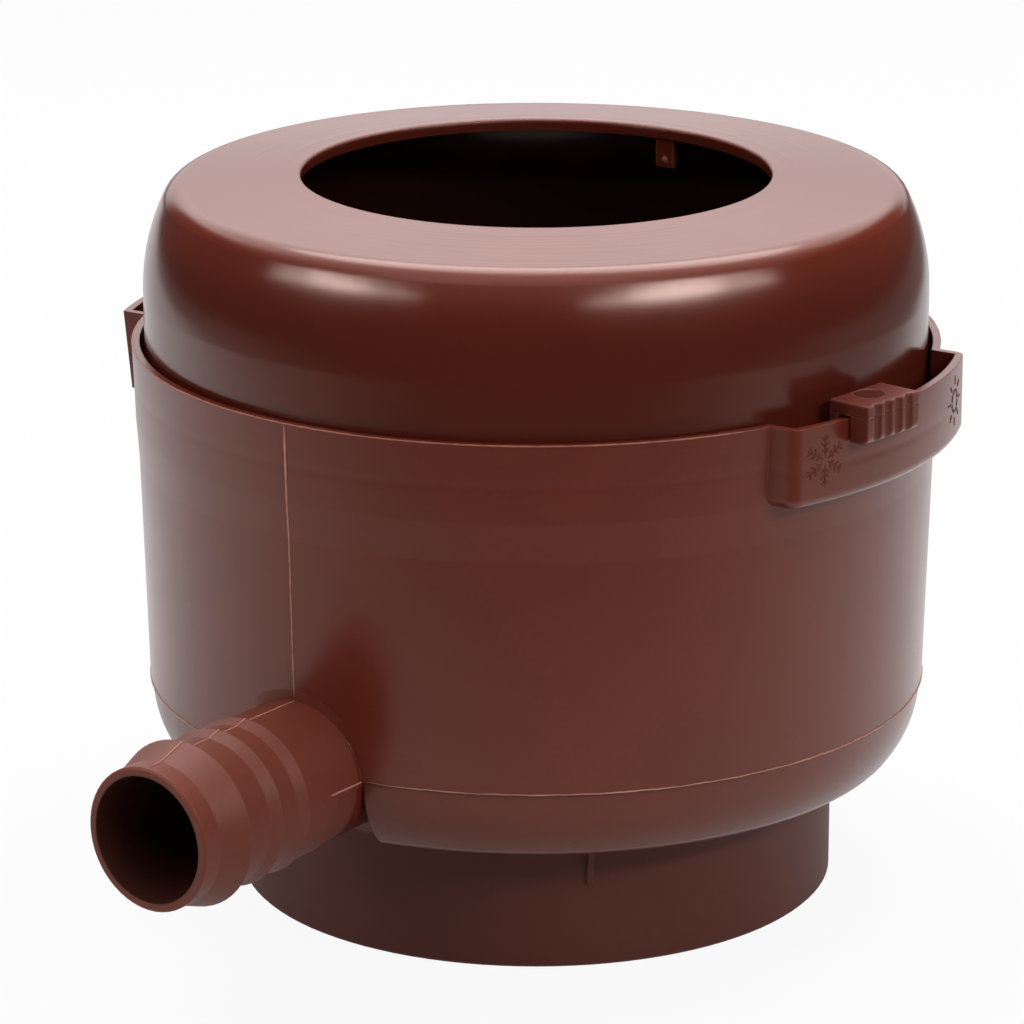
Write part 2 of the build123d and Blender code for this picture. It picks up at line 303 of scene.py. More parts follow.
def plastic(name, colour, edge, clouds, gloss, grain, edge_round=EDGE_ROUND, ior_level=0.5):
    """Principled plastic fed by the skin group; returns the material, its tree and the group's inputs."""
    material = bpy.data.materials.new(name)
    material.use_nodes = True
    tree = material.node_tree
    shader = tree.nodes["Principled BSDF"]
    feed(tree, shader.inputs["Specular IOR Level"], ior_level)
    feed(tree, shader.inputs["Specular Tint"], WARM_GLOSS)
    skin = tree.nodes.new("ShaderNodeGroup")
    skin.node_tree = moulded_skin
    values = {"Colour": colour, "Edge": edge, "Clouds": clouds, "Gloss": gloss, "Grain": grain,
              "Relief": 0.0, "Round": edge_round}
    for label, value in values.items():
        feed(tree, skin.inputs[label], value)
    for label, socket in (("Colour", "Base Color"), ("Roughness", "Roughness"), ("Normal", "Normal")):
        feed(tree, shader.inputs[socket], skin.outputs[label])
    print("material", name, "with gloss", gloss)
    return material, tree, skin.inputs


print("edges look rounded by", EDGE_ROUND, "m")

# %% [markdown]
# ## Housing
#
# The housing is one moulding, yet its finish changes from place to place: the wall is smooth, the hose tail
# is dull and grainy, and the foot is duller still. The foot is also painted darker, as painted shade under
# the bowl, and the tail's bore is painted nearly black, as painted shade. Below the rim the plastic has sunk
# a little where the wall cooled. Separate materials on separate faces would show hard borders, so one
# material reads where it is. The tail's axis gives two measures, how far out a point lies along it and how
# far from it, and smooth steps of these and of the height say which part of the moulding this is.

# %% Where the tail and the foot are
TAIL_ANGLE = radians(-125.9)
TAIL_AXIS = np.array((cos(TAIL_ANGLE), sin(TAIL_ANGLE), 0))
TAIL_START = 0.0902
TAIL_CREST = 0.0189
TAIL_HEIGHT = 0.0482
TAIL_BORE = 0.0144
ROOT_END = 0.0935
ROOT_RADIUS = 0.0190
FOOT_TOP = 0.0290
BLEND = 0.001
WALL_GLOSS = 0.26
WALL_GRAIN = 0.0012

housing_plastic, tree, skin = plastic("brown housing plastic", BROWN, BROWN_EDGE_HIGHLIGHT, clouds=0.05,
                                      gloss=WALL_GLOSS, grain=WALL_GRAIN)
place = object_place(tree)
height = split_node(tree, place)["Z"]
along_tail = vector_node(tree, "DOT_PRODUCT", place, TAIL_AXIS)
from_tail_middle = vector_node(tree, "SUBTRACT", place, (0, 0, TAIL_HEIGHT))
from_tail = vector_node(tree, "LENGTH", vector_node(tree, "CROSS_PRODUCT", from_tail_middle, TAIL_AXIS))
past_start = ramp_node(tree, along_tail, TAIL_START, TAIL_START + BLEND)
near_axis = ramp_node(tree, from_tail, TAIL_CREST + BLEND, TAIL_CREST + 0.2 * BLEND)
on_tail = math_node(tree, "MULTIPLY", past_start, near_axis)
in_bore = ramp_node(tree, from_tail, TAIL_BORE + 0.5 * BLEND, TAIL_BORE)
in_bore = math_node(tree, "MULTIPLY", in_bore, on_tail)
before_root_end = ramp_node(tree, along_tail, ROOT_END + BLEND, ROOT_END)
near_root = ramp_node(tree, from_tail, ROOT_RADIUS + BLEND, ROOT_RADIUS)
at_root = math_node(tree, "MULTIPLY", before_root_end, near_root)
on_foot = ramp_node(tree, height, FOOT_TOP + 0.5 * BLEND, FOOT_TOP - 1.5 * BLEND)
print("tail leaves at", TAIL_START, "m from the axis, foot ends at", FOOT_TOP, "m")

# %% Colour, gloss and relief of the housing
TAIL_BROWN = (0.110, 0.0185, 0.0085, 1)
# Painted shade: the tail's bore and the foot under the bowl are darkened in the colour.
BORE_PAINTED_SHADE = (0.034, 0.0060, 0.0035, 1)
FOOT_PAINTED_SHADE = (0.068, 0.0112, 0.0062, 1)
TAIL_GLOSS = 0.53
FOOT_GLOSS = 0.62
TAIL_GRAIN = 0.045
SINK_BAND_DROP = 0.0098
SINK_BAND_HALF = 0.0011
SINK_BAND_RISE = -0.030
STREAK_SCALE = 140
STREAK_STRETCH = (1, 1, 0.06)
STREAK_RISE = 0.02

shaded = mix_colour(tree, on_tail, BROWN, TAIL_BROWN)
# Painted shade: the bore is darkened here, and the foot on the next line.
shaded = mix_colour(tree, in_bore, shaded, BORE_PAINTED_SHADE)
feed(tree, skin["Colour"], mix_colour(tree, on_foot, shaded, FOOT_PAINTED_SHADE))
# The painted edge highlight is left out at the tail's root.
feed(tree, skin["Edge"], mix_colour(tree, at_root, BROWN_EDGE_HIGHLIGHT, BROWN))
tail_gloss = ramp_node(tree, on_tail, 0, 1, WALL_GLOSS, TAIL_GLOSS)
foot_gloss = ramp_node(tree, on_foot, 0, 1, WALL_GLOSS, FOOT_GLOSS)
feed(tree, skin["Gloss"], math_node(tree, "MAXIMUM", tail_gloss, foot_gloss))
feed(tree, skin["Grain"], ramp_node(tree, on_tail, 0, 1, WALL_GRAIN, TAIL_GRAIN))
band = line_at(tree, height, housing_top - SINK_BAND_DROP, SINK_BAND_HALF, SINK_BAND_RISE)
streaks = noise_node(tree, stretch_node(tree, place, STREAK_STRETCH), STREAK_SCALE, detail=3)
feed(tree, skin["Relief"], math_node(tree, "MULTIPLY_ADD", streaks, STREAK_RISE, band))
print("sink band at", round(housing_top - SINK_BAND_DROP, 4), "m")

# %% [markdown]
# ## Cover
#
# The cover's mould was turned on a lathe, so its flat top carries fine rings, and a low raised ring runs
# round the inlet hole. The rings could be a bump texture drawn in a circle. A noise of one dimension that
# reads the distance from the axis gives rings of uneven strength without any seam. Faces that look up are
# also painted a paler brown than the shoulder, as painted light from above, and the inside is painted nearly
# black, as painted shade where no light comes back. Both masks follow from the way a face looks: up, or in
# towards the axis.

# %% Turning lines, painted light on the top and painted shade inside the cover
COVER_BROWN = (0.069, 0.0105, 0.0055, 1)
# Painted light: a paler brown for faces that look up. Painted shade: near black for the inside.
COVER_TOP_PAINTED_LIGHT = (0.108, 0.0172, 0.0090, 1)
INSIDE_PAINTED_SHADE = (0.016, 0.0030, 0.0020, 1)
COVER_ROUND = 0.0011
COVER_TOP_DROP = 0.0035
COVER_TOP_BLEND = 0.0012
TURNING_SCALE = 620
TURNING_DETAIL = 3
TURNING_RISE = 0.030
HOLE_RING_RADIUS = 0.0602
HOLE_RING_HALF = 0.0013
HOLE_RING_RISE = 0.025
TOP_FACING = (0.18, 0.55)
INSIDE_FACING = (0.0, -0.004)
INSIDE_RADIUS = (0.062, 0.066)

cover_plastic, tree, skin = plastic("brown cover plastic", COVER_BROWN, BROWN_EDGE_HIGHLIGHT, clouds=0.04,
                                    gloss=0.18, grain=0.002, edge_round=COVER_ROUND)
place = object_place(tree)
from_axis = stretch_node(tree, place, (1, 1, 0))
radius = vector_node(tree, "LENGTH", from_axis)
rings = tree.nodes.new("ShaderNodeTexNoise")
rings.noise_dimensions = "1D"
feed(tree, rings.inputs["Scale"], TURNING_SCALE)
feed(tree, rings.inputs["Detail"], TURNING_DETAIL)
feed(tree, rings.inputs["W"], radius)
top_start = cover_top - COVER_TOP_DROP
on_top = ramp_node(tree, split_node(tree, place)["Z"], top_start, top_start + COVER_TOP_BLEND)
turning = math_node(tree, "MULTIPLY", rings.outputs["Fac"], on_top)
hole_ring = line_at(tree, radius, HOLE_RING_RADIUS, HOLE_RING_HALF, HOLE_RING_RISE)
feed(tree, skin["Relief"], math_node(tree, "MULTIPLY_ADD", turning, TURNING_RISE, hole_ring))

# Painted light on faces that look up, painted shade on faces that look in towards the axis.
facing = face_normal(tree)
upward_painted_light = ramp_node(tree, split_node(tree, facing)["Z"], *TOP_FACING)
inward = ramp_node(tree, vector_node(tree, "DOT_PRODUCT", from_axis, facing), *INSIDE_FACING)
inside_painted_shade = math_node(tree, "MULTIPLY", inward, ramp_node(tree, radius, *INSIDE_RADIUS))
shaded = mix_colour(tree, upward_painted_light, COVER_BROWN, COVER_TOP_PAINTED_LIGHT)
feed(tree, skin["Colour"], mix_colour(tree, inside_painted_shade, shaded, INSIDE_PAINTED_SHADE))
print("flat top from", round(top_start, 4), "m, ring round the hole at", HOLE_RING_RADIUS, "m")

# %% [markdown]
# ## Selector and sieve
#
# The lever's edges are painted pale, a painted highlight on its rounded edges, and the two halves of its
# mould have left a fine line across the grip. The sieve inside is a dull plastic that is seen only through
# the hole, painted near black as painted shade. The packed nodes keep their shapes: each only gets its new
# material.

# %% Materials of selector and sieve, and all four put on
LEVER_BROWN = (0.084, 0.0132, 0.0070, 1)
# Painted highlight on the lever's edges.
LEVER_EDGE_HIGHLIGHT = (0.32, 0.125, 0.088, 1)
LEVER_ROUND = 0.0008
GRIP_LINE_DROP = 0.0027
GRIP_LINE_HALF = 0.00016
GRIP_LINE_RISE = -0.05
# Painted shade: the sieve is made near black, with a faint painted highlight on its edges.
SIEVE_PAINTED_SHADE = (0.011, 0.006, 0.005, 1)
SIEVE_EDGE_HIGHLIGHT = (0.02, 0.011, 0.009, 1)

selector_plastic, tree, skin = plastic("brown selector plastic", LEVER_BROWN, LEVER_EDGE_HIGHLIGHT, clouds=0.06,
                                       gloss=0.34, grain=0.010, edge_round=LEVER_ROUND)
height = split_node(tree, object_place(tree))["Z"]
grip_line = line_at(tree, height, selector_top - GRIP_LINE_DROP, GRIP_LINE_HALF, GRIP_LINE_RISE)
feed(tree, skin["Relief"], grip_line)
sieve_plastic = plastic("dull sieve plastic", SIEVE_PAINTED_SHADE, SIEVE_EDGE_HIGHLIGHT, clouds=0.10, gloss=0.70,
                        grain=0.01)[0]

for node_name, material in (("housing", housing_plastic), ("cover", cover_plastic),
                            ("selector", selector_plastic), ("sieve", sieve_plastic)):
    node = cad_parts[node_name]
    node.data.materials.clear()
    node.data.materials.append(material)
    print(node_name, "wears", material.name)

# %% [markdown]
# ## Mesh helpers
#
# Every new piece here is a thin bead, stroke or disc that lies on a wall: a section carried along a path.
# A curve object with a bevel could do it too. Grids of points are clearer to read, and many strokes can be
# stacked in one array and turned into one mesh at once. Real flash is never even, so the beads swell and
# shrink a little on their way.

# %% Turn grids of points into a mesh
MERGE_DISTANCE = 1e-7
BEAD_SWELL = 0.3
BEAD_WAVES = 31
UPWARD = np.array((0, 0, 1.0))


def mesh_from_grids(name, points):
    """Mesh of tubes: points[k, i, j] is corner j of section i of tube k; sections close, neighbours join."""
    tubes, rows, columns = points.shape[:3]
    index = np.arange(tubes * rows * columns).reshape(tubes, rows, columns)
    index = np.concatenate([index, index[:, :, :1]], axis=2)
    corners = [index[:, :-1, :-1], index[:, 1:, :-1], index[:, 1:, 1:], index[:, :-1, 1:]]
    mesh = bpy.data.meshes.new(name)
    mesh.from_pydata(points.reshape(-1, 3), [], np.stack(corners, axis=-1).reshape(-1, 4))
    work = bmesh.new()
    work.from_mesh(mesh)
    bmesh.ops.remove_doubles(work, verts=work.verts, dist=MERGE_DISTANCE)
    bmesh.ops.recalc_face_normals(work, faces=work.faces)
    work.to_mesh(mesh)
    work.free()
    mesh.shade_smooth()
    piece = bpy.data.objects.new(name, mesh)
    scene.collection.objects.link(piece)
    print(name, len(mesh.polygons), "faces")
    return piece


def uneven(steps):
    """Sum of three sines between -1 and 1 that hardly repeats: (sin s + sin 2.3 s + sin 5.9 s) / 3."""
    return (np.sin(steps) + np.sin(2.3 * steps) + np.sin(5.9 * steps)) / 3


def bead(path, across, out, half_width, height, corners=10):
    """Uneven tube round a path p(s), s from -1 to 1: p + k * (across * w * cos t + out * h * sin t).

    The factor k = sqrt(1 - s^12) * (1 + swell * uneven(waves * s)) closes both ends and varies the section.
    """
    turn = np.linspace(0, 2 * np.pi, corners, endpoint=False)
    along = np.linspace(-1, 1, len(path))
    thin = (np.sqrt(1 - along ** 12) * (1 + BEAD_SWELL * uneven(BEAD_WAVES * along)))[:, None, None]
    wide = np.broadcast_to(half_width, along.shape)[:, None, None]
    side = across[:, None, :] * wide * np.cos(turn)[None, :, None]
    up = out[:, None, :] * (height * np.sin(turn))[None, :, None]
    return path[:, None, :] + thin * (side + up)


print("beads swell and shrink by up to", BEAD_SWELL)


# %% Directions and paths round the axis
def polar(radius, angle):
    """Points of a plane from radius and angle: (r cos a, r sin a)."""
    return np.stack([radius * np.cos(angle), radius * np.sin(angle)], axis=-1)


def round_the_axis(angle):
    """Unit vectors away from the axis, (cos a, sin a, 0), and along the turn, (-sin a, cos a, 0)."""
    away = np.stack([np.cos(angle), np.sin(angle), np.zeros_like(angle)], axis=1)
    along = np.stack([-np.sin(angle), np.cos(angle), np.zeros_like(angle)], axis=1)
    return away, along


def polyline(first, second, count):
    """Points spread evenly along straight lines through the corners (first[i], second[i])."""
    first, second = np.array(first), np.array(second)
    length = np.concatenate([[0], np.cumsum(np.hypot(np.diff(first), np.diff(second)))])
    where = np.linspace(0, length[-1], count)
    return np.interp(where, length, first), np.interp(where, length, second)


tail_side = round_the_axis(np.array([TAIL_ANGLE]))[1][0]
print("across the tail is", np.round(tail_side, 3))

# %% [markdown]
# ## Mould flash
#
# Where the mould's halves meet, a little plastic creeps into the joint and stays as a hair-thin raised line.
# On this drum one line runs round the wall above the bowl, and one climbs the wall over the hose tail and
# thickens towards the rim. One follows the rim's outer edge between the pockets, one the tail's crests, and
# a short spur lies on the tail's side. They could be painted as bump, but the light catches real beads
# better at the outline.

# %% Flash round the wall and up to the rim
FLASH_HALF_WIDTH = 0.00014
FLASH_HEIGHT = 0.00022
PARTING_HEIGHT = 0.0494
PARTING_RADIUS = 0.0911
TAIL_RADIUS = 0.0172
RING_WANDER = 0.0001
WALL_HEIGHTS = (0.0494, 0.103, 0.112, 0.130)
WALL_RADII = (0.0911, 0.0925, 0.0931, 0.0937)
UPRIGHT_START = TAIL_HEIGHT + TAIL_RADIUS - 0.0005
THICKER_FROM = 0.100

tail_half_angle = np.arcsin(TAIL_RADIUS / PARTING_RADIUS)
ring_ends = (TAIL_ANGLE + tail_half_angle, TAIL_ANGLE + 2 * np.pi - tail_half_angle)
angle = np.linspace(*ring_ends, 420)
away = round_the_axis(angle)[0]
ring_height = PARTING_HEIGHT + RING_WANDER * uneven(37 * angle)
ring_path = away * PARTING_RADIUS + UPWARD * ring_height[:, None]
ring = bead(ring_path, np.broadcast_to(UPWARD, away.shape), away, FLASH_HALF_WIDTH, FLASH_HEIGHT)
flash_ring = mesh_from_grids("flash_ring", ring[None])

height, radius = polyline(WALL_HEIGHTS, WALL_RADII, 90)
climb = height > UPRIGHT_START
height, radius = height[climb], radius[climb]
away, along = round_the_axis(np.full(height.shape, TAIL_ANGLE))
upright_path = away * radius[:, None] + UPWARD * height[:, None]
near_rim = np.clip((height - THICKER_FROM) / (WALL_HEIGHTS[-1] - THICKER_FROM), 0, 1)
upright = bead(upright_path, along, away, FLASH_HALF_WIDTH * (1 + near_rim), FLASH_HEIGHT)
flash_upright = mesh_from_grids("flash_upright", upright[None])

# %% Flash along the rim's outer edge
RIM_FLASH = 0.00019
RIM_INSET = 0.0001
RIM_FRONT = (-189.5, -57.8)
RIM_BACK = (-8.2, 123.5)


def rim_bead(start, end):
    """Bead on the rim's outer edge between two angles in degrees."""
    away = round_the_axis(np.radians(np.linspace(start, end, 240)))[0]
    path = away * (WALL_RADII[-1] - RIM_INSET) + UPWARD * (WALL_HEIGHTS[-1] - RIM_INSET)
    return bead(path, np.broadcast_to(UPWARD, away.shape), away, RIM_FLASH, RIM_FLASH)


flash_rim = mesh_from_grids("flash_rim", np.stack([rim_bead(*RIM_FRONT), rim_bead(*RIM_BACK)]))

# %% Flash along the top of the hose tail, and the spur on its side
TAIL_REACHES = (0.0911, 0.1087, 0.1087, 0.1119, 0.1179, 0.1179, 0.1213, 0.1300, 0.1300, 0.1376, 0.1423)
TAIL_RADII = (0.0172, 0.0172, 0.01795, 0.0170, 0.0170, 0.0180, 0.0169, 0.0169, 0.0189, 0.01635, 0.01635)
SPUR_LENGTH = 0.0112
SPUR_HEIGHT = 2 * FLASH_HEIGHT

reach, radius = polyline(TAIL_REACHES, TAIL_RADII, 160)
away, along = round_the_axis(np.full(reach.shape, TAIL_ANGLE))
tail_path = away * reach[:, None] + UPWARD * (TAIL_HEIGHT + radius[:, None])
step = np.gradient(np.stack([reach, radius], axis=1), axis=0)
step /= np.linalg.norm(step, axis=1, keepdims=True)
tail_out = UPWARD * step[:, :1] - away * step[:, 1:]
tail_bead = bead(tail_path, along, tail_out, FLASH_HALF_WIDTH, FLASH_HEIGHT)
flash_tail = mesh_from_grids("flash_tail", tail_bead[None])

spur_start = np.sqrt(PARTING_RADIUS ** 2 - TAIL_RADIUS ** 2)
spur_beside = np.sqrt(TAIL_RADIUS ** 2 - (PARTING_HEIGHT - TAIL_HEIGHT) ** 2)
reach = np.linspace(spur_start, spur_start + SPUR_LENGTH, 30)[:, None]
spur_path = TAIL_AXIS * reach + tail_side * spur_beside + UPWARD * PARTING_HEIGHT
spur_across = np.broadcast_to(UPWARD, spur_path.shape)
spur_out = np.broadcast_to(tail_side, spur_path.shape)
spur = bead(spur_path, spur_across, spur_out, FLASH_HALF_WIDTH, SPUR_HEIGHT)
flash_spur = mesh_from_grids("flash_spur", spur[None])

# %% [markdown]
# ## Dimple on the lever
#
# The lever's top has a shallow round dimple for a fingertip. It is duller and darker than the skin round it.
# That could be one more mask in the lever's material, but a thin dished disc on the dimple's ground keeps a
# crisp outline, has its own finish and turns with the lever.

# %% Dished disc in the lever's dimple
LEVER_ANGLE = radians(-41.5)
DIMPLE_REACH = 0.0976
DIMPLE_RADIUS = 0.0034
DIMPLE_GROUND = selector_top - 0.0004
DIMPLE_THICKNESS = 0.00006
DIMPLE_DISH = 0.00018


def dished_disc(name, middle, radius, thickness, dish):
    """Closed disc: at share s of its radius the top is at thickness + dish * s^2, the ground is flat."""
    share = np.linspace(0, 1, 9)
    rings = np.concatenate([share, share[::-1]])
    rise = np.concatenate([thickness + dish * share ** 2, np.zeros_like(share)])
    turn = np.linspace(0, 2 * np.pi, 48, endpoint=False)
    flat = polar(np.ones_like(turn), turn)[None] * (radius * rings)[:, None, None]
    points = np.concatenate([flat, np.broadcast_to(rise[:, None, None], flat.shape[:2] + (1,))], axis=-1)
    return mesh_from_grids(name, (points + middle)[None])


lever_out = round_the_axis(np.array([LEVER_ANGLE]))[0][0]
dimple_middle = lever_out * DIMPLE_REACH + UPWARD * DIMPLE_GROUND
lever_dimple = dished_disc("lever_dimple", dimple_middle, DIMPLE_RADIUS, DIMPLE_THICKNESS, DIMPLE_DISH)

# %% [markdown]
# ## Winter and summer signs
#
# A snowflake and a sun are sunk into the pocket's wall, one at each end of the lever's way. A cut would need
# a finer wall mesh; thin strokes with two lips and a lower middle read the same from all sides. All strokes
# of a sign are straight lines or arcs in its own plane, and the plane is wrapped round the pocket's wall.

# %% Strokes wrapped on the pocket's wall
POCKET_RADIUS = 0.0995
SIGN_HALF = 0.0060
STROKE_LIP = 0.00007
SECTION_ACROSS = np.array((-1.0, -0.72, -0.35, 0.35, 0.72, 1.0, 0.5, -0.5))
SECTION_PROUD = np.array((0.0, 1.0, 0.25, 0.25, 1.0, 0.0, -0.6, -0.6))


def wrapped_strokes(name, strokes, half_width, angle, height):
    """Mesh of strokes[k, i] = (u, v), in halves of the sign, at angle + u / R and height + v on radius R.

    The section has a lip at each side and is narrowed towards both ends by sqrt(1 - s^8), s from -1 to 1.
    """
    flat = strokes * SIGN_HALF
    step = np.gradient(flat, axis=1)
    step /= np.linalg.norm(step, axis=2, keepdims=True)
    side = np.stack([-step[..., 1], step[..., 0]], axis=-1)
    ends = np.sqrt(1 - np.linspace(-1, 1, strokes.shape[1]) ** 8)
    spread = (SECTION_ACROSS * half_width)[None, None, :, None] * ends[None, :, None, None]
    spot = flat[:, :, None, :] + side[:, :, None, :] * spread
    turn = angle + spot[..., 0] / POCKET_RADIUS
    radius = POCKET_RADIUS + np.broadcast_to(SECTION_PROUD * STROKE_LIP, turn.shape) * ends[None, :, None]
    points = np.stack([radius * np.cos(turn), radius * np.sin(turn), height + spot[..., 1]], axis=-1)
    return mesh_from_grids(name, points)


def straight(starts, ends, count=9):
    """Straight strokes from starts[k] to ends[k]: start * (1 - t) + end * t."""
    t = np.linspace(0, 1, count)[None, :, None]
    return starts[:, None, :] * (1 - t) + ends[:, None, :] * t


print("each sign is", 2 * SIGN_HALF, "m across on a wall of radius", POCKET_RADIUS, "m")

# %% Snowflake and sun
SIGN_HEIGHT = 0.1219
SNOW_ANGLE = radians(-50.7)
SNOW_STROKE_HALF = 0.00021
ARM_START = 0.14
BRANCH_AT = (0.30, 0.52, 0.76)
BRANCH_LENGTH = (0.20, 0.27, 0.24)
BRANCH_TURN = 52
SUN_ANGLE = radians(-17.2)
SUN_STROKE_HALF = 0.00033
RAY_START = 0.62
DISC_RADIUS = 0.42

arms = np.radians(np.arange(6) * 60 + 90)
arm_strokes = straight(polar(np.full(6, ARM_START), arms), polar(np.full(6, 1.0), arms))
branch_turn = np.radians(np.tile((-BRANCH_TURN, BRANCH_TURN), 3))
roots = polar(np.tile(np.repeat(BRANCH_AT, 2), 6), np.repeat(arms, 6))
branches = polar(np.tile(np.repeat(BRANCH_LENGTH, 2), 6), np.repeat(arms, 6) + np.tile(branch_turn, 6))
snow_strokes = np.concatenate([arm_strokes, straight(roots, roots + branches)])
snow_sign = wrapped_strokes("snow_sign", snow_strokes, SNOW_STROKE_HALF, SNOW_ANGLE, SIGN_HEIGHT)

rays = np.radians(np.arange(8) * 45)
ray_strokes = straight(polar(np.full(8, RAY_START), rays), polar(np.full(8, 1.0), rays))
arc = np.linspace(0, np.pi / 4, 9)
disc_strokes = polar(np.full((8, 9), DISC_RADIUS), rays[:, None] + arc[None, :])
sun_strokes = np.concatenate([ray_strokes, disc_strokes])
sun_sign = wrapped_strokes("sun_sign", sun_strokes, SUN_STROKE_HALF, SUN_ANGLE, SIGN_HEIGHT)

# %% [markdown]
# ## Finish of the small pieces
#
# The flash is painted far paler than the wall, a painted highlight where light catches its thin ridge, and
# on the rim a little less. The signs and the dimple lie deep, where little is mirrored, which a low specular
# level shows. Each piece is then tied to the body that carries it: all to the base, and the dimple's disc to
# the valve.

# %% Materials of the small pieces, and the bodies that carry them
# Painted highlight: the flash beads are coloured far paler than the wall, and on the rim a little less.
FLASH_HIGHLIGHT = (0.42, 0.19, 0.14, 1)
RIM_HIGHLIGHT = (0.25, 0.070, 0.042, 1)
DIMPLE_BROWN = (0.046, 0.0062, 0.0032, 1)
SNOW_BROWN = (0.105, 0.0150, 0.0076, 1)
SUN_BROWN = (0.082, 0.0105, 0.0052, 1)

flash_skin = {"clouds": 0.12, "gloss": 0.34, "grain": 0.02}
dimple_skin = {"clouds": 0.08, "gloss": 0.60, "grain": 0.01}
sign_skin = {"clouds": 0.10, "gloss": 0.50, "grain": 0.02}
flash_highlight_plastic = plastic("flash plastic with painted highlight", FLASH_HIGHLIGHT, FLASH_HIGHLIGHT, **flash_skin)[0]
rim_highlight_plastic = plastic("rim flash plastic with painted highlight", RIM_HIGHLIGHT, FLASH_HIGHLIGHT, **flash_skin)[0]
dimple_plastic = plastic("dull dimple plastic", DIMPLE_BROWN, BROWN_EDGE_HIGHLIGHT, **dimple_skin, ior_level=0.06)[0]
snow_plastic = plastic("snow sign plastic", SNOW_BROWN, BROWN_EDGE_HIGHLIGHT, **sign_skin, ior_level=0.26)[0]
sun_plastic = plastic("sun sign plastic", SUN_BROWN, BROWN_EDGE_HIGHLIGHT, **sign_skin, ior_level=0.15)[0]

for piece, material, body in ((flash_ring, flash_highlight_plastic, "base"), (flash_upright, flash_highlight_plastic, "base"),
                              (flash_tail, flash_highlight_plastic, "base"), (flash_spur, flash_highlight_plastic, "base"),
                              (flash_rim, rim_highlight_plastic, "base"), (snow_sign, snow_plastic, "base"),
                              (sun_sign, sun_plastic, "base"), (lever_dimple, dimple_plastic, "valve")):
    piece.data.materials.append(material)
    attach(piece, body)
    print(piece.name, "rides on", body)

# %% [markdown]
# ## Floor
#
# The drum stands on a white sheet that keeps its soft shadow. To the camera the sheet is nearly pure white
# with a share of a matt grey that takes the shadow. In the drum's gloss it shows a painted glow instead:
# bright below the wall behind, dark towards the camera, and with a painted shadow that makes it darker close
# to the drum. A light path node tells these rays apart, so the background is white without more light on the
# drum.

# %% White sheet
FLOOR_FRONT = -0.60
FLOOR_BACK = 1.50
FLOOR_SIDE = 1.30
FLOOR_GREY = (0.44, 0.44, 0.44, 1)
WHITE_SHARE = 0.92

corners = ((-FLOOR_SIDE, FLOOR_FRONT, 0), (FLOOR_SIDE, FLOOR_FRONT, 0), (FLOOR_SIDE, FLOOR_BACK, 0),
           (-FLOOR_SIDE, FLOOR_BACK, 0))
sheet = bpy.data.meshes.new("floor")
sheet.from_pydata(corners, [], [(0, 1, 2, 3)])
floor = bpy.data.objects.new("floor", sheet)
scene.collection.objects.link(floor)
print("floor of", 2 * FLOOR_SIDE, "by", FLOOR_BACK - FLOOR_FRONT, "m")

# %% What the sheet shows to the camera, and the painted reflection it shows in the gloss
# Painted reflection: the glow that the gloss sees on the sheet, fading to the front and sides, with a
# painted shadow round the drum.
SLANT = 0.2
SHADE_MIDDLE = (-0.04, 0, 0)
FRONT_FADE = (-0.56, 0.02, 0.06, 1.26)
BACK_FADE = (0.14, 0.44, 1.0, 0.75)
RIGHT_FADE = (0.48, 0.56, 1.0, 0.22)
LEFT_FADE = (-0.50, -0.70, 1.0, 0.25)
SHADE_FADE = (0.05, 0.22, 0.50, 1.0)

floor_white = bpy.data.materials.new("white floor")
floor_white.use_nodes = True
tree = floor_white.node_tree
tree.nodes.clear()
place = object_place(tree)
axes = split_node(tree, place)
aslant = math_node(tree, "MULTIPLY_ADD", axes["Y"], SLANT, axes["X"])
from_shade = vector_node(tree, "LENGTH", vector_node(tree, "SUBTRACT", place, SHADE_MIDDLE))
painted_reflection = ramp_node(tree, axes["Y"], *FRONT_FADE)
for measure, fade in ((axes["Y"], BACK_FADE), (aslant, RIGHT_FADE), (aslant, LEFT_FADE),
                      (from_shade, SHADE_FADE)):
    painted_reflection = math_node(tree, "MULTIPLY", painted_reflection, ramp_node(tree, measure, *fade))

path = tree.nodes.new("ShaderNodeLightPath").outputs
white = tree.nodes.new("ShaderNodeEmission")
feed(tree, white.inputs["Strength"], mix_number(tree, path["Is Glossy Ray"], 1.0, painted_reflection))
matt = tree.nodes.new("ShaderNodeBsdfDiffuse")
feed(tree, matt.inputs["Color"], FLOOR_GREY)
seen_white = math_node(tree, "MULTIPLY", path["Is Camera Ray"], WHITE_SHARE)
mix = tree.nodes.new("ShaderNodeMixShader")
feed(tree, mix.inputs["Fac"], math_node(tree, "MAXIMUM", seen_white, path["Is Glossy Ray"]))
feed(tree, mix.inputs[1], matt.outputs[0])
feed(tree, mix.inputs[2], white.outputs[0])
feed(tree, tree.nodes.new("ShaderNodeOutputMaterial").inputs["Surface"], mix.outputs[0])
sheet.materials.append(floor_white)
print("floor material with", len(tree.nodes), "nodes")

# %% [markdown]
# ## Room
#
# Behind the drum stands a white wall that gives the pale top and the light grey limbs, and the ceiling is
# bright. The side of the camera is dark, which keeps the front of the drum deep brown. An image of a studio
# could light the scene, but a few smooth steps of the direction do the same and can be read. The camera
# itself sees plain white.

# %% White wall behind, dark room in front
WALL_WIDENING = (0.30, 0.60, 0.0, 0.24)
WALL_SIDE = (0.52, 0.34)
WALL_FRONT = (0.0, 0.3)
WALL_FOOT = (-0.06, 0.02)
WALL_LIGHT = (0.21, 0.42, 1.02, 2.00)
CEILING_LIGHT = (0.36, 1.0, 0.0, 1.60)
ROOM_LIGHT = 0.06

